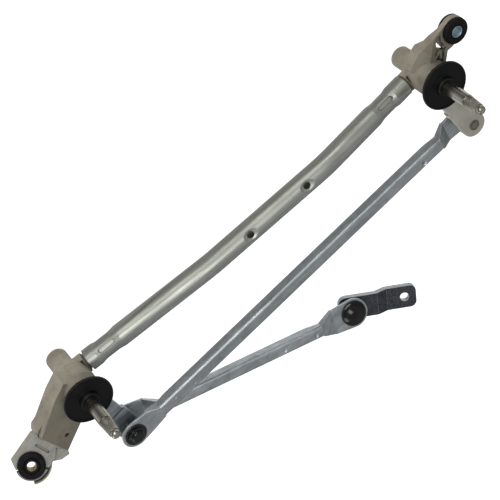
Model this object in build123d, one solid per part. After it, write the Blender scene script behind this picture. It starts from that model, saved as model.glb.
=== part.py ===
from build123d import *
import math
import os

# Windshield wiper linkage, millimetres. The pieces are drawn about the drive pivot shaft at the front
# rim of its seal disc, then moved so that the origin lies on that shaft at its shoulder, where the bare
# seat for the wiper arm begins.
# +X runs from the drive pivot to the passenger pivot, +Z along the shafts towards their splined tips.

SHOULDER_Z = 4.4

# Pivots and levers
PIVOT_SPACING = 440.0
LEVER_RADIUS = 68.7
LEVER_REST_ANGLE = -82.5
LEVER_DIR = Vector(
    math.cos(math.radians(LEVER_REST_ANGLE)), math.sin(math.radians(LEVER_REST_ANGLE)), 0
)

# Pivot shafts
SHAFT_R = 6.5
JOURNAL_R = 6.8
RELIEF_R = 6.2
COLLAR_TOP = 4.0
SHAFT_BOTTOM = -64.0
SPLINE_START = 37.0
SPLINE_END = 53.0
SPLINE_TEETH = 28
TIP_R = 4.4
TIP_TOP = 58.2
RUNNING_CLEARANCE = 0.05

# Housings
BOSS_R = 10.9
BOSS_BOTTOM = -74.0
BORE_R = 8.5
BODY_R = 18.0
DRIVE_TOP = -9.6
PASSENGER_TOP = -13.5
WASHER_T = 1.5

# Frame tube
TUBE_R = 11.0
TUBE_WALL = 1.5
CRIMP_R = 9.9
CRIMP_ZONE = 46.0
DRIVE_SLOT_AT = 22.5
PASSENGER_SLOT_AT = 28.5
TUBE_BEND_R = 180.0
TUBE_START = Vector(22, 0, -41.5)
TUBE_BEND_A = Vector(167, 0, -28.7)
TUBE_BEND_B = Vector(309, 0, -27.5)
TUBE_FINISH = Vector(418, 0, -39.4)
MOTOR_HOLE_X = (212.0, 282.0)
MOTOR_HOLE_R = 3.6
MOTOR_HOLE_TILT = 22.0
SEAT_SPHERE_R = 16.0
SEAT_DEPTH = 2.2

# Body mounts
GROMMET_R = 13.2
GROOVE_R = 9.5
GROMMET_LENGTH = 14.0
EYE_T = 6.0
SLEEVE_R = 5.7
SLEEVE_BORE_R = 4.5
SLEEVE_LENGTH = 15.0
DRIVE_MOUNT = Vector(-82.8, -36.1, -22.0)
DRIVE_MOUNT_AXIS = Vector(0, 0.5, math.sqrt(0.75))
PASSENGER_MOUNT = Vector(480.4, 28.4, -14.0)

# Ball joints
BALL_R = 8.0
BALL_CLEARANCE = 0.05
NECK_R = 3.9
SOCKET_R = 9.6
SOCKET_MOUTH = 4.3
RING_R = 11.2
EYE_R = 14.0
CRANK_EYE_R = 15.2
CAP_BOTTOM = 3.7
CAP_TOP = 4.7
STUD_RISE = 8.5
PASSENGER_STUD_RISE = 10.0
HUB_TOP = -3.5
DRIVE_PLATE_TOP = -6.0
DRIVE_PLATE_T = 4.0
PASSENGER_LEVER_TOP = HUB_TOP
PASSENGER_LEVER_T = 8.0

UPPER_BALL = LEVER_DIR * LEVER_RADIUS + Vector(0, 0, 2.0)
LOWER_BALL = LEVER_DIR * LEVER_RADIUS + Vector(0, 0, DRIVE_PLATE_TOP - DRIVE_PLATE_T - STUD_RISE)
PASSENGER_BALL = (
    Vector(PIVOT_SPACING, 0, PASSENGER_LEVER_TOP - PASSENGER_LEVER_T - PASSENGER_STUD_RISE)
    + LEVER_DIR * LEVER_RADIUS
)
CRANK_BALL = Vector(244.9, -147.1, 0.0)

# Linkage rods and crank
SHEET = 2.0
COUPLING_W = 14.0
COUPLING_DEPTH = 10.5
COUPLING_WEB_TOP = 7.0
DRIVE_ROD_W = 11.8
DRIVE_ROD_DEPTH = 12.0
DRIVE_ROD_WEB_TOP = 11.0
CRANK_T = 6.0
CRANK_W = 24.0
CRANK_LENGTH = 56.3
CRANK_STEP = 6.0
CRANK_HOLE_R = 4.6
ROD_NORMAL = Vector(0.015, 0.295, 0.955)
CRANK_NORMAL = Vector(-0.25, 0.33, 0.91)
CRANK_DIR = Vector(0.844, -0.386, 0.372)


def frame_at(origin, x_dir, z_dir):
    return Plane(origin=origin, x_dir=x_dir, z_dir=z_dir).location


def rod(radius, z0, z1):
    return Pos(0, 0, (z0 + z1) / 2) * Cylinder(radius, z1 - z0)


def cone(r0, r1, z0, z1):
    return Pos(0, 0, (z0 + z1) / 2) * Cone(r0, r1, z1 - z0)


def turned(points):
    """Solid of revolution about Z from (radius, z) points."""
    face = make_face(Polyline([(r, 0, z) for r, z in points], close=True))
    return revolve(face, Axis.Z)


def plate(points, z0, z1):
    face = make_face(Polyline([(x, y, z0) for x, y in points], close=True))
    return extrude(face, z1 - z0, dir=(0, 0, 1))


def side_profile(points, half_width):
    """Prism of an XZ outline, centred on the XZ plane."""
    face = make_face(Polyline([(x, 0, z) for x, z in points], close=True))
    return extrude(face, half_width, dir=(0, 1, 0)) + extrude(face, half_width, dir=(0, -1, 0))


def stadium(length, width, depth):
    return extrude(SlotOverall(length, width), depth / 2, both=True)


def soften(shape, edges, radius):
    """Largest of a few fillets that the edges accept."""
    for size in (radius, radius * 0.6, radius * 0.3):
        try:
            return fillet(edges, size)
        except Exception:
            continue
    return shape


# ---- frame tube -------------------------------------------------------------


def outward(direction):
    """Direction square to the tube that the crimp slots face."""
    facing = Vector(0, math.sin(math.radians(43)), math.cos(math.radians(43)))
    return (facing - direction * facing.dot(direction)).normalized()


def tube_end(origin, direction, slot_at):
    """Crimped tube end: collar, necked zone round the spigot, back to full size."""
    outer = [
        (TUBE_R, 0), (TUBE_R, slot_at - 12.5), (CRIMP_R, slot_at - 7.5), (CRIMP_R, slot_at + 7.5),
        (TUBE_R, slot_at + 14.5), (TUBE_R, CRIMP_ZONE),
    ]
    inner = [(r - TUBE_WALL, z) for r, z in reversed(outer)]
    end = turned(outer + inner)
    lining = stake(slot_at, CRIMP_R - 2.7, 2.2, 21, 7.2) & rod(CRIMP_R - 0.2, 0, CRIMP_ZONE)
    pocket = stake(slot_at, CRIMP_R - 1.5, 5, 18.6, 4.8)
    return frame_at(origin, outward(direction), direction) * (end + lining - pocket)


def stake(slot_at, floor, height, length, width):
    """Obround block of the crimp's pressed slot, rising from a height above the tube axis."""
    return Pos(floor + height / 2, 0, slot_at) * Rot(0, 90, 0) * stadium(length, width, height)


def tube_middle(start, finish):
    path = FilletPolyline(start, TUBE_BEND_A, TUBE_BEND_B, finish, radius=TUBE_BEND_R)
    section = Plane(origin=start, z_dir=TUBE_BEND_A - start)
    outer = sweep(section * Circle(TUBE_R), path=path)
    inner = sweep(section * Circle(TUBE_R - TUBE_WALL), path=path)
    return outer, inner


def motor_hole_axis(x):
    share = (x - TUBE_BEND_A.X) / (TUBE_BEND_B.X - TUBE_BEND_A.X)
    z = TUBE_BEND_A.Z + share * (TUBE_BEND_B.Z - TUBE_BEND_A.Z)
    tilt = math.radians(MOTOR_HOLE_TILT)
    return Vector(x, 0, z), Vector(0, math.sin(tilt), math.cos(tilt))


def frame_tube():
    left_dir = (TUBE_BEND_A - TUBE_START).normalized()
    right_dir = (TUBE_BEND_B - TUBE_FINISH).normalized()
    start = TUBE_START + left_dir * CRIMP_ZONE
    finish = TUBE_FINISH + right_dir * CRIMP_ZONE
    outer, inner = tube_middle(start, finish)
    wall = outer - inner
    for x in MOTOR_HOLE_X:
        centre, up = motor_hole_axis(x)
        dish = centre + up * (TUBE_R + SEAT_SPHERE_R - SEAT_DEPTH)
        lining = (Pos(*dish) * Sphere(SEAT_SPHERE_R + TUBE_WALL)) & outer
        wall = wall + lining - Pos(*dish) * Sphere(SEAT_SPHERE_R)
        wall -= frame_at(centre, Vector(1, 0, 0), up) * Cylinder(MOTOR_HOLE_R, 40)
    drive_end = tube_end(TUBE_START, left_dir, DRIVE_SLOT_AT)
    passenger_end = tube_end(TUBE_FINISH, right_dir, PASSENGER_SLOT_AT)
    return wall + drive_end + passenger_end


# ---- housings ---------------------------------------------------------------


def pivot_boss(top):
    """Bearing boss with its flared body, origin on the shaft axis."""
    boss = rod(BOSS_R, BOSS_BOTTOM, top)
    boss = soften(boss, boss.edges().sort_by(Axis.Z)[:1], 2.0)
    flare = turned(
        [(0, -56), (BOSS_R, -56), (BODY_R - 4, -48), (BODY_R, -38), (BODY_R, -20), (13.0, top), (0, top)]
    )
    return boss + flare


def spigot(tube_face, direction, slot_at):
    """Cast spigot that the tube end is crimped on, with its square key recess."""
    neck = CRIMP_R - TUBE_WALL
    body = turned(
        [
            (0, -24), (10.4, -24), (10.4, -2.6), (8.1, -1.6), (8.1, slot_at - 12.5), (neck, slot_at - 7.5),
            (neck, slot_at + 7.5), (9.0, slot_at + 13), (0, slot_at + 13),
        ]
    )
    key = Pos(10, 0, -6) * Box(4.4, 7, 6)
    notch = stake(slot_at, CRIMP_R - 2.76, 6, 21.2, 7.4)
    return frame_at(tube_face, outward(direction), direction) * (body - key - notch)


def eye_cutter(depth=60.0):
    """Space that the grommet and its two flanges need, origin at the eye's mid plane."""
    over = rod(GROMMET_R + 0.8, EYE_T / 2, depth / 2)
    under = rod(GROMMET_R + 0.8, -depth / 2, -EYE_T / 2)
    return over + under + rod(GROOVE_R, -EYE_T, EYE_T)


def sloped_side(first, second, outer_point):
    """Space above the plane through three points, where a cast arm falls away from its crest."""
    along = second - first
    normal = along.cross(outer_point - first)
    if normal.Z < 0:
        normal = normal * -1
    return frame_at(first, along, normal) * Pos(0, 0, 30) * Box(300, 120, 60)


def drive_arm():
    top = -17.0
    outline = [(-8, 19), (-24, 10.5), (-57.5, -13.4), (-48.4, -47.1), (-22, -31), (8, -15.5), (14, 0)]
    arm = plate(outline, -40, top)
    arm -= sloped_side(Vector(-57.3, -13.1, top), Vector(-19, 1.7, top), Vector(-28, 14.6, top - 1.4))
    arm -= Pos(-38.4, -31, top) * Cylinder(2.4, 14)
    arm -= plate([(-50, -24), (-46, -41), (-24, -27), (-14, -10)], -42, -26)
    ledge = plate([(-59, -13), (-57.4, -13.4), (-48.3, -47.1), (-49.9, -47.5)], top - 12, top + 1)
    shelf = plate([(-60, -15.5), (-56, -10), (-40, -4), (-30, -30), (-49, -50)], -40, top - 7)
    return arm + shelf - ledge


def drive_lug():
    """Tilted eye plate of the drive side mount, origin at the eye, with its outer guard wall."""
    half = EYE_T / 2
    outline = [
        (-13.3, 8), (-10.6, 16.4), (20, 24), (36, 20), (34, -10), (27.6, -3), (21, -10), (12.3, -12.5),
        (4, -15),
    ]
    lug = plate(outline, -half, half) + Cylinder(15.2, EYE_T)
    lug -= Pos(18, 5.3, half) * Rot(0, 0, -73) * stadium(15, 2.6, 2.4)
    for angle in (160, -54):
        lug -= Rot(0, 0, angle) * Pos(15.2, 0, 0) * Box(4, 2.4, 20)
    sector = plate([(0, 0), (-16, -26), (30, -30), (18, -3)], -9, 2)
    guard = (rod(19.8, -8, 0) - rod(18.2, -9, 1)) & sector
    web = plate([(16, -11), (24, -16), (33, -17), (38, -4), (38, 4), (20, 4)], -8, 0)
    foot = rod(19.8, -8, -6.4) & sector
    return lug + guard + web + foot


def drive_housing():
    eye = DRIVE_MOUNT - DRIVE_MOUNT_AXIS * (SLEEVE_LENGTH / 2)
    lug_frame = frame_at(eye, Vector(1, 0, 0), DRIVE_MOUNT_AXIS)
    body = pivot_boss(DRIVE_TOP) + drive_arm() + lug_frame * drive_lug()
    body -= lug_frame * eye_cutter()
    direction = (TUBE_BEND_A - TUBE_START).normalized()
    return finish_housing(body, TUBE_START, direction, DRIVE_SLOT_AT)


def passenger_arm():
    """Cast arm with two crest rails, a ribbed pocket between them and a lightening window."""
    top = PASSENGER_MOUNT.Z - (SLEEVE_LENGTH - EYE_T) / 2
    outline = [
        (427, 16), (440, 28), (458.6, 36.8), (473, 40.5), (484, 41), (490, 30), (482, 18), (472, 14.5),
        (465.5, 14.5), (459.6, 6.5), (452, -13),
    ]
    arm = plate(outline, -38, top)
    arm -= sloped_side(Vector(448.2, 22.2, top), Vector(458.6, 36.8, top), Vector(440, 36, -30))
    arm -= side_profile([(444, -40), (453, -30), (460.5, -27), (468, -24.4), (500, -24.4), (500, -40)], 60)
    floor = [(450.8, 18), (460.2, 34.2), (466.4, 35.6), (464, 28), (465.6, 19), (463, 16.8), (453, 2)]
    pocket = plate(floor, -21.8, 0)
    pocket -= plate([(448, 14), (448, 16.4), (466, 22.8), (466, 20.4)], -23, -19)
    pocket -= plate([(455, 12), (457.4, 11), (461, 20), (458.6, 21)], -23, -19)
    window = plate([(459.8, 30), (461.4, 26.2), (463.6, 16.4), (459.6, 20), (458, 24)], -50, 0)
    return arm - pocket - window


def passenger_housing():
    eye = Pos(PASSENGER_MOUNT.X, PASSENGER_MOUNT.Y, PASSENGER_MOUNT.Z - SLEEVE_LENGTH / 2)
    body = Pos(PIVOT_SPACING, 0, 0) * pivot_boss(PASSENGER_TOP) + passenger_arm()
    body += eye * Cylinder(13.4, EYE_T)
    body -= eye * eye_cutter()
    direction = (TUBE_BEND_B - TUBE_FINISH).normalized()
    return finish_housing(body, TUBE_FINISH, direction, PASSENGER_SLOT_AT, PIVOT_SPACING)


def finish_housing(body, tube_face, direction, slot_at, x=0.0):
    body += spigot(tube_face, direction, slot_at)
    return body - Pos(x, 0, 0) * rod(BORE_R, BOSS_BOTTOM - 10, 0)


def bush(z0, z1):
    return rod(BORE_R, z0, z1) - rod(JOURNAL_R + RUNNING_CLEARANCE, z0 - 1, z1 + 1)


def end_plug():
    return rod(BORE_R, BOSS_BOTTOM + 1, BOSS_BOTTOM + 4)


def thrust_washer(top):
    ring = rod(12.0, top, top + WASHER_T)
    return ring - rod(JOURNAL_R + 0.4, top - 1, top + WASHER_T + 1)


# ---- body mounts ------------------------------------------------------------


def grommet(lipped):
    """Rubber grommet, origin at the sleeve's outer face, hole along Z."""
    top = -(SLEEVE_LENGTH - GROMMET_LENGTH) / 2
    low = top - GROMMET_LENGTH
    groove_hi = -SLEEVE_LENGTH / 2 + EYE_T / 2
    groove_lo = -SLEEVE_LENGTH / 2 - EYE_T / 2
    outer = [
        (SLEEVE_R, low), (GROMMET_R - 1.2, low), (GROMMET_R, low + 1.2), (GROMMET_R, groove_lo),
        (GROOVE_R, groove_lo), (GROOVE_R, groove_hi), (GROMMET_R, groove_hi), (GROMMET_R, top - 1.2),
        (GROMMET_R - 1.2, top),
    ]
    plain = [(SLEEVE_R + 1.6, top), (SLEEVE_R + 1.6, top - 0.6), (SLEEVE_R, top - 0.6)]
    lip = [(8.0, top), (7.7, top - 0.8), (7.1, top - 0.8), (6.7, 0.5), (4.8, 0.5), (4.8, 0), (SLEEVE_R, 0)]
    return turned(outer + (lip if lipped else plain))


def sleeve():
    body = rod(SLEEVE_R, -SLEEVE_LENGTH, 0) - rod(SLEEVE_BORE_R, -SLEEVE_LENGTH - 1, 1)
    return chamfer(body.edges().sort_by(Axis.Z)[-1], 0.4)


# ---- pivot shafts -----------------------------------------------------------


def splined_cone():
    points = []
    for i in range(2 * SPLINE_TEETH):
        radius = 6.15 if i % 2 == 0 else 5.7
        angle = math.pi * i / SPLINE_TEETH
        points.append((radius * math.cos(angle), radius * math.sin(angle), SPLINE_START))
    face = make_face(Polyline(points, close=True))
    return extrude(face, SPLINE_END - SPLINE_START, dir=(0, 0, 1), taper=3.2)


def pivot_shaft():
    body = rod(JOURNAL_R, SHAFT_BOTTOM, SHOULDER_Z - 1)
    body = chamfer(body.edges().sort_by(Axis.Z)[0], 1.0)
    body += rod(RELIEF_R, SHOULDER_Z - 1, SHOULDER_Z) + rod(SHAFT_R, SHOULDER_Z, SPLINE_START - 1.6)
    body += cone(SHAFT_R, 5.8, SPLINE_START - 1.6, SPLINE_START)
    body += splined_cone()
    tip = rod(TIP_R, SPLINE_END, TIP_TOP)
    body += fillet(tip.edges().sort_by(Axis.Z)[-1], 2.6)
    groove = rod(JOURNAL_R + 1, -61.6, -60.4) - rod(5.6, -62, -60)
    return body - groove


def retaining_ring():
    ring = rod(7.9, -61.6, -60.4) - rod(5.6, -62, -60)
    return ring - Pos(7, 0, -61) * Box(6, 2.4, 3)


def seal_disc(lug_azimuth):
    """Disc with a raised rim, hub collar and a short locating lug underneath."""
    disc = turned(
        [
            (JOURNAL_R, HUB_TOP), (10.5, HUB_TOP), (10.5, -2.9), (23.4, -2.5), (24.6, -1.9), (24.6, -0.3),
            (24.3, 0), (23.5, 0), (23.2, -1.2), (10.6, -1.1), (9.4, COLLAR_TOP - 0.8), (8.6, COLLAR_TOP),
            (JOURNAL_R, COLLAR_TOP),
        ]
    )
    return disc + Rot(0, 0, lug_azimuth) * Pos(17.4, 0, -4.4) * Box(6, 12, 3.8)


# ---- levers and ball studs --------------------------------------------------


def lever_location(x=0.0):
    return Pos(x, 0, 0) * Rot(0, 0, LEVER_REST_ANGLE)


def drive_lever():
    """Pressed plate lever with a joggle, along +X from the shaft."""
    side = [
        (-16, HUB_TOP), (40, HUB_TOP), (45, DRIVE_PLATE_TOP), (84, DRIVE_PLATE_TOP),
        (84, DRIVE_PLATE_TOP - DRIVE_PLATE_T), (43, DRIVE_PLATE_TOP - DRIVE_PLATE_T),
        (38, HUB_TOP - DRIVE_PLATE_T), (-16, HUB_TOP - DRIVE_PLATE_T),
    ]
    waist = [(0, -12.5), (41, -11.5), (43, -13), (LEVER_RADIUS, -12.5)]
    outline = plate(waist + [(x, -y) for x, y in reversed(waist)], -30, 10)
    outline += rod(12.5, -30, 10) + Pos(LEVER_RADIUS, 0, 0) * rod(12.5, -30, 10)
    body = side_profile(side, 20) & outline
    body = soften(body, body.faces().sort_by(Axis.Z)[-1].edges(), 0.5)
    body -= rod(JOURNAL_R, -30, 10)
    body -= Pos(LEVER_RADIUS, 0, 0) * rod(4.5, -30, 10)
    return lever_location() * body


def passenger_lever():
    """Sintered lever, thicker than the pressed one, with a side nub."""
    top = PASSENGER_LEVER_TOP
    low = top - PASSENGER_LEVER_T
    body = plate([(0, -14), (LEVER_RADIUS, -13), (LEVER_RADIUS, 13), (0, 14)], low, top)
    body += rod(14, low, top) + Pos(LEVER_RADIUS, 0, 0) * rod(13, low, top)
    body += Pos(38, -12.9, (low + top) / 2) * Box(6, 4, PASSENGER_LEVER_T)
    body = soften(body, body.faces().sort_by(Axis.Z)[-1].edges(), 1.2)
    body -= rod(JOURNAL_R, low - 1, top + 1)
    body -= Pos(LEVER_RADIUS, 0, 0) * rod(4.5, low - 1, top + 1)
    return lever_location(PIVOT_SPACING) * body


def ball_on_neck(plate_z, ball_z):
    """Ball and neck rising from a plate face, seen along +Z."""
    body = rod(7.0, plate_z, plate_z + 1.0) + rod(NECK_R, plate_z, ball_z)
    return body + Pos(0, 0, ball_z) * Sphere(BALL_R)


def double_ball_stud():
    body = ball_on_neck(DRIVE_PLATE_TOP, UPPER_BALL.Z)
    body += mirror(ball_on_neck(-(DRIVE_PLATE_TOP - DRIVE_PLATE_T), -LOWER_BALL.Z), Plane.XY)
    body += rod(4.5, DRIVE_PLATE_TOP - DRIVE_PLATE_T, DRIVE_PLATE_TOP)
    return lever_location() * Pos(LEVER_RADIUS, 0, 0) * body


def passenger_ball_stud():
    low = PASSENGER_LEVER_TOP - PASSENGER_LEVER_T
    body = mirror(ball_on_neck(-low, -PASSENGER_BALL.Z), Plane.XY)
    body += rod(4.5, low, PASSENGER_LEVER_TOP)
    head = rod(5.4, PASSENGER_LEVER_TOP, PASSENGER_LEVER_TOP + 0.7)
    body += head - (rod(4.6, PASSENGER_LEVER_TOP + 0.3, PASSENGER_LEVER_TOP + 1) - rod(3.6, -10, 10))
    return lever_location(PIVOT_SPACING) * Pos(LEVER_RADIUS, 0, 0) * body


def stepped_cap():
    """Two-step top of the small sockets."""
    step = rod(8.6, CAP_TOP, CAP_TOP + 1.4)
    crown = rod(6.6, CAP_TOP, 9.8)
    return step + fillet(crown.edges().sort_by(Axis.Z)[-1], 2.6)


def domed_cap():
    """Shallow dome that nearly fills the rim of the large socket."""
    rise = 5.2
    foot = 11.8
    radius = (foot * foot + rise * rise) / (2 * rise)
    return (Pos(0, 0, CAP_TOP + rise - radius) * Sphere(radius)) & rod(foot, CAP_TOP, CAP_TOP + rise + 1)


def ball_socket(ring_r, cap):
    """Snap-in plastic socket: ball centre at the origin, cap up, mouth down."""
    body = Sphere(SOCKET_R) & rod(20, -SOCKET_MOUTH, 20)
    body += rod(SOCKET_R, -SOCKET_MOUTH, CAP_TOP)
    body += rod(ring_r, CAP_BOTTOM, CAP_TOP) + cap
    cavity = Sphere(BALL_R + BALL_CLEARANCE)
    mouth = cone(9.2, 6.8, -SOCKET_MOUTH - 1.5, -SOCKET_MOUTH + 0.02)
    return body - cavity - mouth


# ---- linkage rods -----------------------------------------------------------


def channel(width, depth, top, x0, x1):
    """Inverted U section along X with rounded outer folds."""
    length = x1 - x0
    mid = Pos((x0 + x1) / 2, 0, top - depth / 2)
    outer = mid * Box(length, width, depth)
    folds = outer.edges().filter_by(Axis.X).group_by(Axis.Z)[-1]
    outer = fillet(folds, 2.6)
    return outer - Pos(0, 0, -SHEET) * mid * Box(length + 2, width - 2 * SHEET, depth)


def eye_sheet(x, reach, radius, z0):
    """Flat rod end round a ball joint, narrowing a little to its crease."""
    eye = (Pos(x, 0) * Circle(radius)).edges()
    crease = (Pos(reach, 0) * Rectangle(2, 2 * radius - 4)).edges()
    sheet = extrude(Pos(0, 0, z0) * make_hull(eye + crease), SHEET, dir=(0, 0, 1))
    return sheet - Pos(x, 0, z0) * Cylinder(SOCKET_R, 20)


def flange_trim(x0, x1, z_tip, z_full):
    """Wedge that tapers the flanges away towards a rod end."""
    return side_profile([(x0, z_tip), (x1, z_full), (x1, -40), (x0, -40)], 20)


def rod_ramp(x_eye, x_web, eye_top, web_top, eye_half, web_half):
    """Sloping facet between a rod's raised web and its wider eye, with fading side flanges."""
    eye_low = eye_top - SHEET
    web_low = web_top - SHEET
    outline = [(x_eye, -eye_half), (x_web, -web_half), (x_web, web_half), (x_eye, eye_half)]
    inner = [
        (x_eye, SHEET - eye_half), (x_web, SHEET - web_half), (x_web, web_half - SHEET),
        (x_eye, eye_half - SHEET),
    ]
    facet = side_profile([(x_eye, eye_top), (x_web, web_top), (x_web, web_low), (x_eye, eye_low)], 20)
    fade = side_profile(
        [(x_eye, eye_low), (x_web, web_low), (x_web, web_low - 7), (x_eye, eye_low - 1.5)], 20
    )
    return (facet + (fade - plate(inner, -30, 30))) & plate(outline, -20, 20)


def coupling_rod():
    span = (PASSENGER_BALL - UPPER_BALL).length
    near_eye = CAP_BOTTOM
    far_eye = SHEET - CAP_BOTTOM
    top = COUPLING_WEB_TOP
    low = top - COUPLING_DEPTH
    half = COUPLING_W / 2
    body = channel(COUPLING_W, COUPLING_DEPTH, top, 32.9, span - 34.9)
    body -= flange_trim(26, 44, top - SHEET - 6, low)
    body -= flange_trim(span - 30, span - 50, top - SHEET - 6, low)
    body += eye_sheet(0, 20.5, EYE_R, near_eye - SHEET)
    body += eye_sheet(span, span - 22.5, EYE_R, far_eye - SHEET)
    body += rod_ramp(20, 33, near_eye, top, EYE_R - 2, half)
    body += rod_ramp(span - 22, span - 35, far_eye, top, EYE_R - 2, half)
    for x, y in ((50, 2), (73, -1)):
        body -= Pos(x, y, top + 1.4) * Sphere(2.0)
    body -= Pos(span - 61, -2, top) * Cylinder(2.0, 20)
    body -= Pos(span - 61, -2, top) * cone(2.0, 3.4, -1.2, 0.2)
    return coupling_frame(UPPER_BALL) * body


def coupling_frame(origin):
    along = PASSENGER_BALL - UPPER_BALL
    return frame_at(origin, along, Vector(-along.Z, 0, along.X).normalized())


def drive_rod():
    span = (CRANK_BALL - LOWER_BALL).length
    near_eye = SHEET - CAP_BOTTOM
    far_eye = CAP_BOTTOM
    top = DRIVE_ROD_WEB_TOP
    low = top - DRIVE_ROD_DEPTH
    half = DRIVE_ROD_W / 2
    body = channel(DRIVE_ROD_W, DRIVE_ROD_DEPTH, top, 37.9, span - 37.9)
    body -= flange_trim(34, 52, top - SHEET - 6, low)
    body -= flange_trim(span - 34, span - 52, top - SHEET - 6, low)
    body += eye_sheet(0, 22.5, EYE_R, near_eye - SHEET)
    body += eye_sheet(span, span - 22.5, CRANK_EYE_R, far_eye - SHEET)
    body += rod_ramp(22, 38, near_eye, top, EYE_R - 2, half)
    body += rod_ramp(span - 22, span - 38, far_eye, top, CRANK_EYE_R - 2, half)
    for x in (span - 46, span - 81):
        body -= Pos(x, -1.2, top + 2.2) * Sphere(3.2)
    return rod_frame() * body


def rod_frame():
    return frame_at(LOWER_BALL, CRANK_BALL - LOWER_BALL, rod_normal())


def rod_normal():
    along = (CRANK_BALL - LOWER_BALL).normalized()
    return (ROD_NORMAL - along * ROD_NORMAL.dot(along)).normalized()


def crank_frame():
    normal = CRANK_NORMAL.normalized()
    along = (CRANK_DIR - normal * CRANK_DIR.dot(normal)).normalized()
    return frame_at(CRANK_BALL, along, normal)


def crank_arm():
    top = -STUD_RISE
    low = top - CRANK_STEP
    side = [
        (-20, top), (28, top), (38.5, low), (80, low), (80, low - CRANK_T), (36.5, low - CRANK_T),
        (26, top - CRANK_T), (-20, top - CRANK_T),
    ]
    end = CRANK_LENGTH + 12
    outline = plate([(-12, -12), (end, -12), (end, 12), (-12, 12)], -40, 0)
    corners = outline.edges().filter_by(Axis.Z).group_by(Axis.X)
    outline = fillet(corners[0], 8)
    outline = fillet(outline.edges().filter_by(Axis.Z).group_by(Axis.X)[-1], 6.5)
    body = side_profile(side, 20) & outline
    body -= rod(4.5, -40, 0)
    body -= Pos(CRANK_LENGTH, 0, 0) * rod(CRANK_HOLE_R, -40, 0)
    return crank_frame() * body


def crank_ball_stud():
    body = ball_on_neck(-STUD_RISE, 0)
    body += rod(4.5, -STUD_RISE - CRANK_T, -STUD_RISE)
    body += rod(6.0, -STUD_RISE - CRANK_T - 1.0, -STUD_RISE - CRANK_T)
    return crank_frame() * body


# ---- assembly ---------------------------------------------------------------


def frame_nodes():
    far = Pos(PIVOT_SPACING, 0, 0)
    drive_eye = frame_at(DRIVE_MOUNT, Vector(1, 0, 0), DRIVE_MOUNT_AXIS)
    passenger_eye = Pos(*PASSENGER_MOUNT)
    return {
        "frame_tube": frame_tube(),
        "drive_housing": drive_housing(),
        "passenger_housing": passenger_housing(),
        "drive_upper_bush": bush(-30, DRIVE_TOP - 1),
        "drive_lower_bush": bush(-60, -45),
        "passenger_upper_bush": far * bush(-30, PASSENGER_TOP - 1),
        "passenger_lower_bush": far * bush(-60, -45),
        "drive_end_plug": end_plug(),
        "passenger_end_plug": far * end_plug(),
        "drive_thrust_washer": thrust_washer(DRIVE_TOP),
        "passenger_thrust_washer": far * thrust_washer(PASSENGER_TOP),
        "drive_grommet": drive_eye * grommet(lipped=True),
        "drive_sleeve": drive_eye * sleeve(),
        "passenger_grommet": passenger_eye * grommet(lipped=False),
        "passenger_sleeve": passenger_eye * sleeve(),
    }


def rocker_nodes():
    far = Pos(PIVOT_SPACING, 0, 0)
    return {
        "drive_shaft": pivot_shaft(),
        "drive_retaining_ring": retaining_ring(),
        "drive_seal_disc": seal_disc(98),
        "drive_lever": drive_lever(),
        "double_ball_stud": double_ball_stud(),
        "passenger_shaft": far * pivot_shaft(),
        "passenger_retaining_ring": far * retaining_ring(),
        "passenger_seal_disc": far * seal_disc(80),
        "passenger_lever": passenger_lever(),
        "passenger_ball_stud": passenger_ball_stud(),
    }


def linkage_nodes():
    small = ball_socket(RING_R, stepped_cap())
    large = ball_socket(13.0, domed_cap())
    flip = Rot(180, 0, 0)
    return {
        "coupling_rod": coupling_rod(),
        "coupling_drive_socket": coupling_frame(UPPER_BALL) * small,
        "coupling_passenger_socket": coupling_frame(PASSENGER_BALL) * flip * small,
        "drive_rod": drive_rod(),
        "drive_rod_lever_socket": rod_frame() * flip * small,
        "drive_rod_crank_socket": frame_at(CRANK_BALL, CRANK_BALL - LOWER_BALL, rod_normal()) * large,
        "crank_arm": crank_arm(),
        "crank_ball_stud": crank_ball_stud(),
    }


os.makedirs("parts", exist_ok=True)
for nodes in (frame_nodes(), rocker_nodes(), linkage_nodes()):
    for name, shape in nodes.items():
        export_step(shape.moved(Location((0, 0, -SHOULDER_Z))), "parts/" + name + ".step")
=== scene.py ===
import bpy
import math
from mathutils import Matrix, Vector


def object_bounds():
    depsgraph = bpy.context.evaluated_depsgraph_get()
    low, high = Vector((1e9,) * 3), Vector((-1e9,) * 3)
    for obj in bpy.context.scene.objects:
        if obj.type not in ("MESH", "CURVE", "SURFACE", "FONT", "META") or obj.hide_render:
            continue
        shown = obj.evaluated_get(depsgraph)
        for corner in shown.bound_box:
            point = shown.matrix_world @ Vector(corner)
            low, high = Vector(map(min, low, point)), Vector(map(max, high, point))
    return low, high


# Looks for the wiper linkage: one procedural material for each finish, soft studio light, pale floor.

CAMERA_AT = Vector((0.0825, 0.9552, 1.0048))
CAMERA_RIGHT = Vector((0.7473, -0.4386, 0.4992))
CAMERA_UP = Vector((0.6591, 0.5853, -0.4724))
CAMERA_LENS = 108.94
SENSOR_WIDTH = 36.0

FLOOR_SIZE = 12
FLOOR_DROP = 0.004
FLOOR_GREY = (0.86, 0.86, 0.86, 1)
FLOOR_GLOW = 0.9

ROOM_STRENGTH = 0.62

# Light of the surroundings against one component of the direction, from -1 at 0 to +1 at 1.
ROOM_BY_HEIGHT = ((0.0, 0.05), (0.44, 0.07), (0.56, 0.22), (0.72, 0.34), (0.86, 0.5), (1.0, 0.4))
BOUNCE_BY_HEIGHT = ((0.0, 1.0), (0.3, 1.0), (0.46, 0.0))
BOUNCE_BY_SIDE = ((0.0, 1.0), (0.3, 0.9), (0.42, 0.5), (0.55, 0.4), (0.68, 1.0), (1.0, 1.0))
BOUNCE_BY_DEPTH = ((0.0, 1.0), (0.5, 1.0), (0.75, 0.45), (0.92, 0.22))

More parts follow.
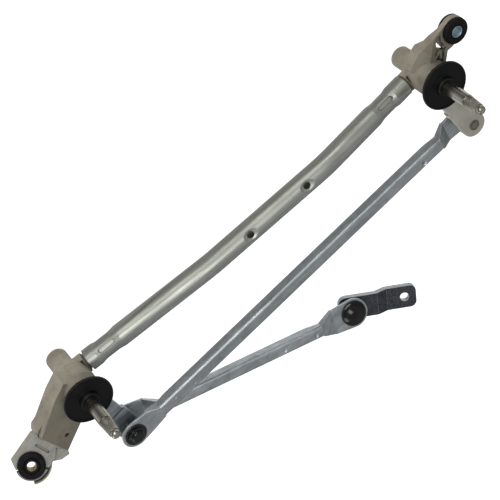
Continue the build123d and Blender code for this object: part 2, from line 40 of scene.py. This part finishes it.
# Directions and places on the part, in its own frame, that a finish or a painted shade depends on.
LUG_FACE = (0.0, 0.5, 0.866)
LUG_AT = (-0.08, -0.038, -0.031)
CRANK_FACE = (-0.25, 0.33, 0.91)
# Painted shade: the tube's side facing this direction is tinted a little darker and warmer.
TUBE_SHADED_SIDE = (0.0, 0.95, 0.3)


def linear(value):
    value /= 255
    return value / 12.92 if value <= 0.04045 else ((value + 0.055) / 1.055) ** 2.4


def rgb(red, green, blue):
    return (linear(red), linear(green), linear(blue), 1.0)


# ---- node helpers -----------------------------------------------------------


def set_stops(ramp, stops):
    """Gives a colour ramp node its (position, colour) stops."""
    elements = ramp.color_ramp.elements
    while len(elements) < len(stops):
        elements.new(0.5)
    for element, (position, color) in zip(elements, stops):
        element.position = position
        element.color = color


def grey_stops(stops):
    return [(at, (value, value, value, 1.0)) for at, value in stops]


class Shader:
    """One material being wired up, with its texture coordinates in metres."""

    def __init__(self, name, roughness, metallic=0.0, specular=0.5, coat=0.0):
        self.material = bpy.data.materials.new(name)
        self.material.use_nodes = True
        self.tree = self.material.node_tree
        self.surface = self.tree.nodes["Principled BSDF"]
        self.surface.inputs["Metallic"].default_value = metallic
        self.surface.inputs["Specular IOR Level"].default_value = specular
        self.surface.inputs["Roughness"].default_value = roughness
        self.surface.inputs["Coat Weight"].default_value = coat
        self.place = self.tree.nodes.new("ShaderNodeTexCoord").outputs["Object"]
        self.normal = None

    def node(self, kind, **settings):
        made = self.tree.nodes.new(kind)
        for key, value in settings.items():
            setattr(made, key, value)
        return made

    def link(self, source, target):
        self.tree.links.new(source, target)

    def stretched(self, scale, turn=(0.0, 0.0, 0.0)):
        mapping = self.node("ShaderNodeMapping")
        mapping.inputs["Rotation"].default_value = turn
        mapping.inputs["Scale"].default_value = scale
        self.link(self.place, mapping.inputs["Vector"])
        return mapping.outputs["Vector"]

    def noise(self, scale, detail=4.0, rough=0.55, turn=(0.0, 0.0, 0.0), twist=0.0):
        texture = self.node("ShaderNodeTexNoise")
        texture.inputs["Scale"].default_value = 1.0
        texture.inputs["Detail"].default_value = detail
        texture.inputs["Roughness"].default_value = rough
        texture.inputs["Distortion"].default_value = twist
        size = scale if isinstance(scale, tuple) else (scale, scale, scale)
        self.link(self.stretched(size, turn), texture.inputs["Vector"])
        return texture.outputs["Fac"]

    def cells(self, scale):
        texture = self.node("ShaderNodeTexVoronoi", feature="F1")
        texture.inputs["Scale"].default_value = 1.0
        self.link(self.stretched((scale, scale, scale)), texture.inputs["Vector"])
        return texture.outputs["Distance"]

    def ramp(self, source, *stops):
        ramp = self.node("ShaderNodeValToRGB")
        set_stops(ramp, stops)
        self.link(source, ramp.inputs["Fac"])
        return ramp.outputs["Color"]

    def grey(self, source, *stops):
        return self.ramp(source, *grey_stops(stops))

    def mix(self, share, first, second, kind="MIX"):
        mixed = self.node("ShaderNodeMix", data_type="RGBA", blend_type=kind)
        if isinstance(share, float):
            mixed.inputs["Factor"].default_value = share
        else:
            self.link(share, mixed.inputs["Factor"])
        for value, socket in ((first, mixed.inputs["A"]), (second, mixed.inputs["B"])):
            if isinstance(value, tuple):
                socket.default_value = value
            else:
                self.link(value, socket)
        return mixed.outputs["Result"]

    def facing(self, direction, low, high):
        """One where the surface faces a fixed direction, fading to nought away from it."""
        dot = self.node("ShaderNodeVectorMath", operation="DOT_PRODUCT")
        self.link(self.node("ShaderNodeNewGeometry").outputs["True Normal"], dot.inputs[0])
        dot.inputs[1].default_value = direction
        return self.grey(dot.outputs["Value"], (low, 0.0), (high, 1.0))

    def near(self, point, inner, outer):
        """One within a distance of a point, fading to nought beyond it."""
        gap = self.node("ShaderNodeVectorMath", operation="DISTANCE")
        self.link(self.place, gap.inputs[0])
        gap.inputs[1].default_value = point
        return self.grey(gap.outputs["Value"], (inner, 1.0), (outer, 0.0))

    def edges(self, reach=0.0006):
        """One along the folds and corners of a piece, nought on its open faces; reach in metres. Marks where
        a painted highlight goes.
        """
        bevel = self.node("ShaderNodeBevel", samples=4)
        bevel.inputs["Radius"].default_value = reach
        dot = self.node("ShaderNodeVectorMath", operation="DOT_PRODUCT")
        self.link(self.node("ShaderNodeNewGeometry").outputs["Normal"], dot.inputs[0])
        self.link(bevel.outputs["Normal"], dot.inputs[1])
        return self.grey(dot.outputs["Value"], (0.9, 1.0), (0.99, 0.0))

    def painted_recess_shade(self, color, reach=0.003):
        """Painted shade: darkens a colour in recesses and close gaps, where shade falls."""
        shade = self.node("ShaderNodeAmbientOcclusion", samples=8)
        shade.inputs["Distance"].default_value = reach
        return self.mix(1.0, color, self.grey(shade.outputs["AO"], (0.35, 0.22), (0.85, 1.0)), "MULTIPLY")

    def rounded(self, radius):
        bevel = self.node("ShaderNodeBevel", samples=4)
        bevel.inputs["Radius"].default_value = radius
        self.normal = bevel.outputs["Normal"]

    def bump(self, height, strength, distance):
        bump = self.node("ShaderNodeBump")
        bump.inputs["Strength"].default_value = strength
        bump.inputs["Distance"].default_value = distance
        self.link(height, bump.inputs["Height"])
        if self.normal is not None:
            self.link(self.normal, bump.inputs["Normal"])
        self.normal = bump.outputs["Normal"]

    def finish(self, color, roughness=None):
        # Painted shade in recesses and close gaps, for every material.
        color = self.painted_recess_shade(color)
        self.link(color, self.surface.inputs["Base Color"])
        if roughness is not None:
            self.link(roughness, self.surface.inputs["Roughness"])
        if self.normal is not None:
            self.link(self.normal, self.surface.inputs["Normal"])
        return self.material


# ---- materials --------------------------------------------------------------


def cast_housing():
    s = Shader("cast_housing", 0.55, metallic=0.25, specular=0.45)
    s.rounded(0.0008)
    s.bump(s.noise(1600, 3.0), 0.35, 0.0001)
    s.bump(s.noise(260, 4.0), 0.3, 0.0002)
    broad = s.ramp(s.noise(34, 5.0, twist=0.6), (0.32, rgb(140, 133, 117)), (0.68, rgb(161, 154, 138)))
    stained = s.mix(s.grey(s.noise(95, 6.0), (0.52, 0.0), (0.75, 0.55)), broad, rgb(110, 103, 88))
    fine = s.grey(s.noise(1900, 2.0), (0.3, 0.86), (0.7, 1.08))
    color = s.mix(0.8, stained, fine, "MULTIPLY")
    machined = s.mix(1.0, s.facing(LUG_FACE, 0.97, 0.99), s.near(LUG_AT, 0.052, 0.058), "MULTIPLY")
    milled = s.ramp(s.noise((90, 700, 700), 4.0), (0.3, rgb(158, 157, 148)), (0.7, rgb(188, 187, 178)))
    color = s.mix(machined, color, milled)
    # Painted highlight: edges and ridges of the casting are lightened.
    color = s.mix(s.edges(), color, rgb(176, 170, 158))
    return s.finish(color, s.grey(s.noise(180, 4.0), (0.3, 0.46), (0.7, 0.64)))


def zinc_tube():
    s = Shader("zinc_tube", 0.36, metallic=0.9)
    s.rounded(0.0005)
    s.bump(s.noise((9, 900, 900), 3.0), 0.12, 0.0001)
    s.bump(s.noise(420, 4.0), 0.1, 0.0001)
    streaks = s.ramp(s.noise((6, 320, 320), 5.0), (0.25, rgb(182, 186, 184)), (0.75, rgb(222, 223, 217)))
    clouds = s.grey(s.noise((14, 60, 60), 5.0, twist=0.5), (0.3, 0.84), (0.72, 1.06))
    specks = s.grey(s.noise(700, 2.0), (0.62, 1.0), (0.8, 0.72))
    color = s.mix(1.0, s.mix(1.0, streaks, clouds, "MULTIPLY"), specks, "MULTIPLY")
    # Painted shade: the side of the tube facing the fixed front direction is made a little darker and
    # warmer.
    color = s.mix(s.facing(TUBE_SHADED_SIDE, 0.35, 0.85), color, s.mix(1.0, color, rgb(248, 248, 240), "MULTIPLY"))
    return s.finish(color, s.grey(s.noise((12, 260, 260), 4.0), (0.3, 0.36), (0.7, 0.5)))


def zinc_sheet(name, dark, light, along, rough=(0.28, 0.46)):
    """Blue zinc plating on pressed steel, with rolling streaks along one direction."""
    s = Shader(name, 0.36, metallic=0.88)
    s.rounded(0.0007)
    s.bump(s.noise((8, 700, 700), 3.0, turn=along), 0.12, 0.0001)
    s.bump(s.noise(520, 4.0), 0.12, 0.0001)
    streaks = s.ramp(s.noise((9, 240, 240), 5.0, turn=along), (0.28, dark), (0.72, light))
    clouds = s.grey(s.noise(70, 5.0, twist=0.8), (0.3, 0.82), (0.7, 1.05))
    grime = s.grey(s.noise(150, 6.0), (0.58, 0.0), (0.82, 0.5))
    color = s.mix(1.0, streaks, clouds, "MULTIPLY")
    color = s.mix(grime, color, rgb(104, 105, 96))
    # Painted highlight: folds and rims of the pressed sheet are made near white.
    color = s.mix(s.edges(0.0011), color, rgb(242, 244, 243))
    return s.finish(color, s.grey(s.noise(210, 4.0), (0.3, rough[0]), (0.7, rough[1])))


def mottled_crank():
    s = Shader("zinc_crank", 0.45, metallic=0.75)
    s.rounded(0.0008)
    s.bump(s.noise(900, 4.0), 0.3, 0.0001)
    mottle = s.ramp(s.cells(420), (0.1, rgb(58, 61, 69)), (0.55, rgb(92, 95, 102)))
    cloud = s.grey(s.noise(140, 6.0), (0.3, 0.72), (0.7, 1.12))
    color = s.mix(1.0, mottle, cloud, "MULTIPLY")
    sheared = s.ramp(s.noise((500, 500, 60), 4.0), (0.3, rgb(168, 174, 180)), (0.7, rgb(208, 213, 216)))
    color = s.mix(s.facing(CRANK_FACE, 0.4, 0.6), sheared, color)
    # Painted highlight: the crank's folds and corners are lightened.
    color = s.mix(s.edges(), color, rgb(224, 225, 222))
    return s.finish(color, s.grey(s.noise(320, 4.0), (0.3, 0.3), (0.7, 0.5)))


def sintered_lever():
    s = Shader("sintered_lever", 0.5, metallic=0.35, specular=0.4)
    s.rounded(0.001)
    s.bump(s.noise(1500, 3.0), 0.35, 0.0001)
    broad = s.ramp(s.noise(60, 5.0), (0.3, rgb(194, 192, 178)), (0.7, rgb(218, 216, 204)))
    fine = s.grey(s.noise(2400, 2.0), (0.3, 0.84), (0.7, 1.1))
    color = s.mix(0.8, broad, fine, "MULTIPLY")
    # Painted highlight: the lever's folds and corners are lightened.
    color = s.mix(s.edges(), color, rgb(220, 218, 208))
    return s.finish(color, s.grey(s.noise(300, 4.0), (0.3, 0.4), (0.7, 0.6)))


def turned_steel(name, dark, light, rough):
    """Ground and polished steel with fine turning lines round the Z axis."""
    s = Shader(name, 0.2, metallic=1.0)
    s.rounded(0.0003)
    s.bump(s.noise((30, 30, 2600), 3.0), 0.08, 0.00005)
    lines = s.ramp(s.noise((24, 24, 1500), 4.0), (0.3, dark), (0.7, light))
    tint = s.ramp(s.noise(60, 4.0), (0.35, rgb(196, 188, 160)), (0.7, rgb(236, 236, 234)))
    color = s.mix(0.75, lines, tint, "MULTIPLY")
    return s.finish(color, s.grey(s.noise((60, 60, 500), 4.0), (0.3, rough[0]), (0.7, rough[1])))


def black_plastic(name, base, rough, coat, grain):
    s = Shader(name, rough, specular=0.3, coat=coat)
    s.surface.inputs["Coat Roughness"].default_value = 0.08
    s.rounded(0.0005)
    s.bump(s.noise(grain, 3.0), 0.12, 0.0001)
    tone = s.ramp(s.noise(90, 5.0), (0.3, rgb(*base)), (0.75, rgb(*(v + 9 for v in base))))
    dust = s.grey(s.noise(520, 4.0), (0.66, 0.0), (0.84, 0.1))
    color = s.mix(dust, tone, rgb(120, 116, 108))
    # Painted highlight: edges of the black plastic are lifted to grey.
    color = s.mix(s.edges(), color, rgb(70, 70, 72))
    return s.finish(color, s.grey(s.noise(240, 4.0), (0.3, rough - 0.06), (0.7, rough + 0.08)))


def moulded_rubber():
    s = Shader("rubber", 0.7, specular=0.25)
    s.rounded(0.0006)
    s.bump(s.noise(1300, 4.0), 0.3, 0.0001)
    tone = s.ramp(s.noise(120, 5.0), (0.3, rgb(15, 14, 16)), (0.7, rgb(28, 27, 29)))
    dust = s.grey(s.noise(420, 5.0), (0.6, 0.0), (0.85, 0.22))
    return s.finish(s.mix(dust, tone, rgb(88, 84, 78)), s.grey(s.noise(300, 3.0), (0.3, 0.6), (0.7, 0.82)))


def plated(name, dark, light, rough):
    s = Shader(name, rough, metallic=0.85)
    s.rounded(0.0003)
    s.bump(s.noise(900, 3.0), 0.12, 0.0001)
    color = s.ramp(s.noise(160, 5.0, twist=0.8), (0.3, dark), (0.7, light))
    return s.finish(color, s.grey(s.noise(260, 3.0), (0.3, rough - 0.08), (0.7, rough + 0.08)))


def finishes():
    blue = (rgb(184, 193, 197), rgb(228, 233, 235))
    flat = (0.0, 0.0, 0.0)
    slanted = (0.0, 0.0, math.radians(-18.5))
    crossed = (0.0, 0.0, math.radians(-82.5))
    return {
        "cast_housing": cast_housing(),
        "zinc_tube": zinc_tube(),
        "coupling_zinc": zinc_sheet("coupling_zinc", *blue, flat),
        "drive_rod_zinc": zinc_sheet("drive_rod_zinc", *blue, slanted),
        "lever_zinc": zinc_sheet("lever_zinc", rgb(150, 162, 170), rgb(196, 205, 210), crossed),
        "crank": mottled_crank(),
        "sintered_lever": sintered_lever(),
        "shaft": turned_steel("shaft_steel", rgb(206, 204, 196), rgb(244, 243, 240), (0.16, 0.3)),
        "ball": turned_steel("ball_steel", rgb(170, 169, 166), rgb(214, 213, 210), (0.1, 0.22)),
        "disc": black_plastic("seal_plastic", (8, 8, 9), 0.44, 0.0, 900),
        "cap": black_plastic("socket_plastic", (8, 8, 11), 0.2, 0.6, 300),
        "washer": black_plastic("washer_plastic", (28, 28, 29), 0.5, 0.0, 900),
        "rubber": moulded_rubber(),
        "yellow_zinc": plated("yellow_zinc", rgb(150, 136, 72), rgb(196, 180, 112), 0.38),
        "blue_zinc": plated("blue_zinc", rgb(164, 186, 200), rgb(208, 224, 234), 0.3),
        "bronze": plated("bronze", rgb(140, 108, 66), rgb(176, 140, 92), 0.5),
        "plug": plated("plug_steel", rgb(128, 126, 120), rgb(168, 166, 160), 0.45),
        "spring": plated("spring_steel", rgb(58, 57, 56), rgb(88, 86, 84), 0.42),
    }


NODE_FINISH = {
    "frame_tube": "zinc_tube",
    "drive_housing": "cast_housing",
    "passenger_housing": "cast_housing",
    "drive_sleeve": "yellow_zinc",
    "passenger_sleeve": "blue_zinc",
    "drive_lever": "lever_zinc",
    "passenger_lever": "sintered_lever",
    "coupling_rod": "coupling_zinc",
    "drive_rod": "drive_rod_zinc",
    "crank_arm": "crank",
}

FINISH_BY_WORD = (
    ("bush", "bronze"),
    ("end_plug", "plug"),
    ("thrust_washer", "washer"),
    ("grommet", "rubber"),
    ("shaft", "shaft"),
    ("retaining_ring", "spring"),
    ("seal_disc", "disc"),
    ("stud", "ball"),
    ("socket", "cap"),
)


def finish_of(node):
    if node in NODE_FINISH:
        return NODE_FINISH[node]
    return next(finish for word, finish in FINISH_BY_WORD if word in node)


def dress(frame):
    made = finishes()
    for name, piece in frame["nodes"].items():
        piece.data.materials.clear()
        piece.data.materials.append(made[finish_of(name)])


# ---- stage ------------------------------------------------------------------


def pale_floor(lowest):
    bpy.ops.mesh.primitive_plane_add(size=FLOOR_SIZE, location=(0.2, 0, lowest - FLOOR_DROP))
    floor = bpy.context.object
    floor.name = "floor"
    floor.visible_glossy = False
    material = bpy.data.materials.new("pale_floor")
    material.use_nodes = True
    surface = material.node_tree.nodes["Principled BSDF"]
    surface.inputs["Base Color"].default_value = FLOOR_GREY
    surface.inputs["Roughness"].default_value = 0.9
    surface.inputs["Emission Color"].default_value = (1, 1, 1, 1)
    surface.inputs["Emission Strength"].default_value = FLOOR_GLOW
    floor.data.materials.append(material)


def soft_world():
    """Grey room: brighter overhead, with light bounced up from below on the left and right."""
    world = bpy.data.worlds.new("studio")
    bpy.context.scene.world = world
    world.use_nodes = True
    tree = world.node_tree
    place = tree.nodes.new("ShaderNodeTexCoord")
    parts = tree.nodes.new("ShaderNodeSeparateXYZ")
    tree.links.new(place.outputs["Generated"], parts.inputs["Vector"])
    height = world_ramp(tree, parts.outputs["Z"], ROOM_BY_HEIGHT)
    below = world_ramp(tree, parts.outputs["Z"], BOUNCE_BY_HEIGHT)
    sideways = world_ramp(tree, parts.outputs["X"], BOUNCE_BY_SIDE)
    backward = world_ramp(tree, parts.outputs["Y"], BOUNCE_BY_DEPTH)
    bounce = world_math(tree, "MULTIPLY", world_math(tree, "MULTIPLY", below, sideways), backward)
    total = world_math(tree, "ADD", height, bounce)
    tree.links.new(total, tree.nodes["Background"].inputs["Color"])
    tree.nodes["Background"].inputs["Strength"].default_value = ROOM_STRENGTH


def world_ramp(tree, source, stops):
    """Grey level for one direction component, from -1 to 1."""
    half = tree.nodes.new("ShaderNodeMapRange")
    half.inputs["From Min"].default_value = -1.0
    ramp = tree.nodes.new("ShaderNodeValToRGB")
    set_stops(ramp, grey_stops(stops))
    tree.links.new(source, half.inputs["Value"])
    tree.links.new(half.outputs["Result"], ramp.inputs["Fac"])
    return ramp.outputs["Color"]


def world_math(tree, kind, first, second):
    node = tree.nodes.new("ShaderNodeMath")
    node.operation = kind
    tree.links.new(first, node.inputs[0])
    tree.links.new(second, node.inputs[1])
    return node.outputs["Value"]


def softbox(name, at, target, size, power, color=(1, 1, 1)):
    light = bpy.data.lights.new(name, "AREA")
    light.shape = "RECTANGLE"
    light.size, light.size_y = size
    light.energy = power
    light.color = color
    box = bpy.data.objects.new(name, light)
    bpy.context.scene.collection.objects.link(box)
    box.location = at
    box.rotation_mode = "QUATERNION"
    box.rotation_quaternion = (Vector(target) - Vector(at)).to_track_quat("-Z", "X")
    box.visible_camera = False


def studio_lights():
    middle = (0.22, -0.03, -0.03)
    softbox("front_strip", (0.22, 1.9, 0.5), middle, (0.3, 2.2), 8)
    softbox("overhead", (-0.15, 1.1, 2.0), middle, (1.3, 0.9), 12)
    softbox("left_fill", (-1.6, -0.8, 0.9), middle, (0.8, 1.2), 5, (0.94, 0.97, 1.0))


def studio_camera():
    data = bpy.data.cameras.new("camera")
    data.lens = CAMERA_LENS
    data.sensor_width = SENSOR_WIDTH
    data.clip_start = 0.05
    camera = bpy.data.objects.new("camera", data)
    bpy.context.scene.collection.objects.link(camera)
    right = CAMERA_RIGHT.normalized()
    back = right.cross(CAMERA_UP).normalized()
    up = back.cross(right)
    turn = Matrix((right, up, back)).transposed()
    camera.matrix_world = Matrix.Translation(CAMERA_AT) @ turn.to_4x4()
    bpy.context.scene.camera = camera


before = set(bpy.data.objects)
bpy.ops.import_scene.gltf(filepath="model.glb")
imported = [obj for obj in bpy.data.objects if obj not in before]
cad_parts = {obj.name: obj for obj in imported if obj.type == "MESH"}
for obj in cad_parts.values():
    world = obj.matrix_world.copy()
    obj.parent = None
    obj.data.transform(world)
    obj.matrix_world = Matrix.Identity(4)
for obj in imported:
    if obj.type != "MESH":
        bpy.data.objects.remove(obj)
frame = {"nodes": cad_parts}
cad_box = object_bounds()
dress(frame)
pale_floor(cad_box[0].z)
soft_world()
studio_lights()
studio_camera()
bpy.context.scene.view_settings.view_transform = "Standard"
